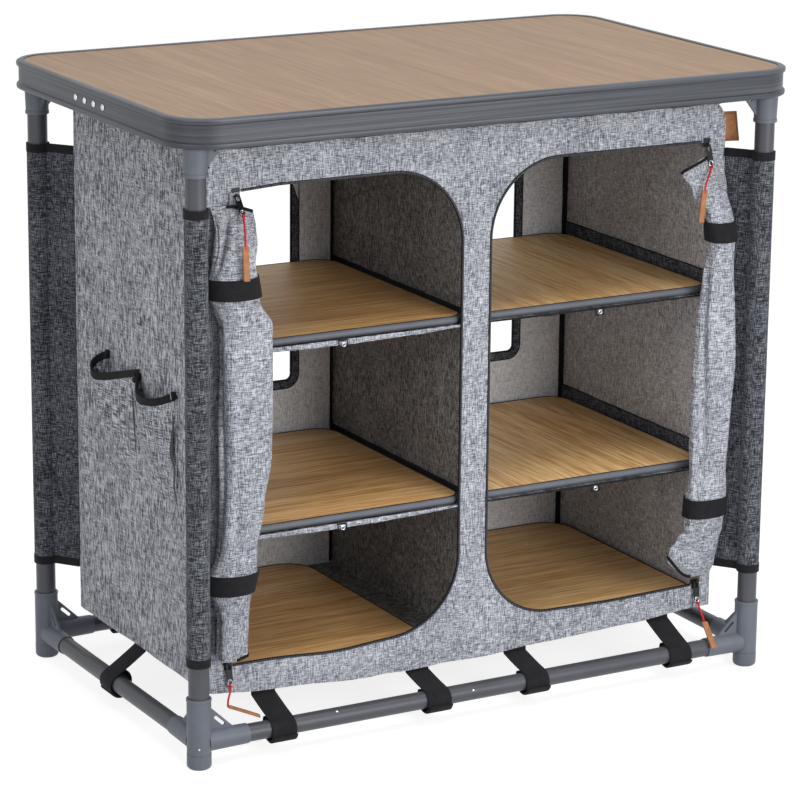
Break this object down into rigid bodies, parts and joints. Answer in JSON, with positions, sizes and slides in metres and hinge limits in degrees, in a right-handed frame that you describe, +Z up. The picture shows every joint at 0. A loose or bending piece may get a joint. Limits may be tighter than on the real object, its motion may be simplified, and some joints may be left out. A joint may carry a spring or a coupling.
{
  "type": "folding camping kitchen cupboard",
  "caption": "Free-standing folding camping kitchen cupboard: tube frame, rimmed wood-decor table top, fabric cupboard with shelves, side pocket and zipped doors rolled open.",
  "frame": {"origin": "on the floor at the centre of the footprint", "axes": "+X along the long side, to the right when facing the doors; +Y from the doors to the back; +Z up"},
  "size_m": [0.89, 0.54, 0.82],
  "materials": {
    "tube_paint": "satin dark grey paint",
    "connector_plastic": "moulded blue-grey, lightly grained",
    "rim_metal": "grey coated extrusion",
    "rivet_metal": "bare",
    "table_decor": "satin wood-decor laminate",
    "shelf_decor": "wood-decor laminate with a plastic edge",
    "light_fabric": "coated polyester, light grey melange",
    "dark_fabric": "coated polyester, dark grey melange",
    "black_webbing": "woven webbing and binding",
    "zip_metal": "cast zip slider and pull",
    "red_cord": "red cord with a bare leather tab"
  },
  "bodies": {
    "cupboard": {"leg_front_left": "tube_paint", "leg_front_right": "tube_paint", "leg_rear_left": "tube_paint", "leg_rear_right": "tube_paint", "rail_front": "tube_paint", "rail_rear": "tube_paint", "rail_left": "tube_paint", "rail_right": "tube_paint", "connector_front_left": "connector_plastic", "connector_front_right": "connector_plastic", "connector_rear_left": "connector_plastic", "connector_rear_right": "connector_plastic", "foot_front_left": "connector_plastic", "foot_front_right": "connector_plastic", "foot_rear_left": "connector_plastic", "foot_rear_right": "connector_plastic", "front_panel": "light_fabric", "rear_panel": "light_fabric", "left_panel": "light_fabric", "right_panel": "light_fabric", "sling_upper_left": "light_fabric", "sling_upper_right": "light_fabric", "sling_lower_left": "light_fabric", "sling_lower_right": "light_fabric", "door_roll_left": "light_fabric", "door_roll_right": "light_fabric", "side_pocket": "light_fabric", "divider": "dark_fabric", "top_panel": "dark_fabric", "sleeve_front_left": "dark_fabric", "sleeve_front_right": "dark_fabric", "sleeve_rear_left": "dark_fabric", "sleeve_rear_right": "dark_fabric", "bottom_panel": "black_webbing", "shelf_upper_left": "shelf_decor", "shelf_upper_right": "shelf_decor", "shelf_lower_left": "shelf_decor", "shelf_lower_right": "shelf_decor", "bottom_board_left": "shelf_decor", "bottom_board_right": "shelf_decor"},
    "tabletop": {"table_board": "table_decor", "table_rim": "rim_metal", "rim_splice": "rivet_metal", "top_socket_front_left": "connector_plastic", "top_socket_front_right": "connector_plastic", "top_socket_rear_left": "connector_plastic", "top_socket_rear_right": "connector_plastic"},
    "slider_top_left": {"zip_slider_top_left": "zip_metal"},
    "pull_top_left": {"zip_pull_top_left": "zip_metal", "zip_cord_top_left": "red_cord"},
    "slider_top_right": {"zip_slider_top_right": "zip_metal"},
    "pull_top_right": {"zip_pull_top_right": "zip_metal", "zip_cord_top_right": "red_cord"},
    "slider_bottom_left": {"zip_slider_bottom_left": "zip_metal"},
    "pull_bottom_left": {"zip_pull_bottom_left": "zip_metal", "zip_cord_bottom_left": "red_cord"},
    "slider_bottom_right": {"zip_slider_bottom_right": "zip_metal"},
    "pull_bottom_right": {"zip_pull_bottom_right": "zip_metal", "zip_cord_bottom_right": "red_cord"}
  },
  "joints": [
    {"name": "tabletop_lift", "type": "slide", "parent": "cupboard", "child": "tabletop", "axis": [0, 0, 1], "range_m": [0, 0.12]},
    {"name": "zip_slide_top_left", "type": "slide", "parent": "cupboard", "child": "slider_top_left", "axis": [1, 0, 0], "range_m": [0, 0.2]},
    {"name": "zip_pull_hinge_top_left", "type": "hinge", "parent": "slider_top_left", "child": "pull_top_left", "pos_m": [-0.337, -0.1965, 0.71], "axis": [-1, 0, 0], "range_deg": [0, 80]},
    {"name": "zip_slide_top_right", "type": "slide", "parent": "cupboard", "child": "slider_top_right", "axis": [-1, 0, 0], "range_m": [0, 0.2]},
    {"name": "zip_pull_hinge_top_right", "type": "hinge", "parent": "slider_top_right", "child": "pull_top_right", "pos_m": [0.35, -0.1965, 0.714], "axis": [-1, 0, 0], "range_deg": [0, 80]},
    {"name": "zip_slide_bottom_left", "type": "slide", "parent": "cupboard", "child": "slider_bottom_left", "axis": [1, 0, 0], "range_m": [0, 0.2]},
    {"name": "zip_pull_hinge_bottom_left", "type": "hinge", "parent": "slider_bottom_left", "child": "pull_bottom_left", "pos_m": [-0.35, -0.1965, 0.114], "axis": [-1, 0, 0], "range_deg": [0, 80]},
    {"name": "zip_slide_bottom_right", "type": "slide", "parent": "cupboard", "child": "slider_bottom_right", "axis": [-1, 0, 0], "range_m": [0, 0.2]},
    {"name": "zip_pull_hinge_bottom_right", "type": "hinge", "parent": "slider_bottom_right", "child": "pull_bottom_right", "pos_m": [0.355, -0.1965, 0.114], "axis": [-1, 0, 0], "range_deg": [0, 80]}
  ]
}
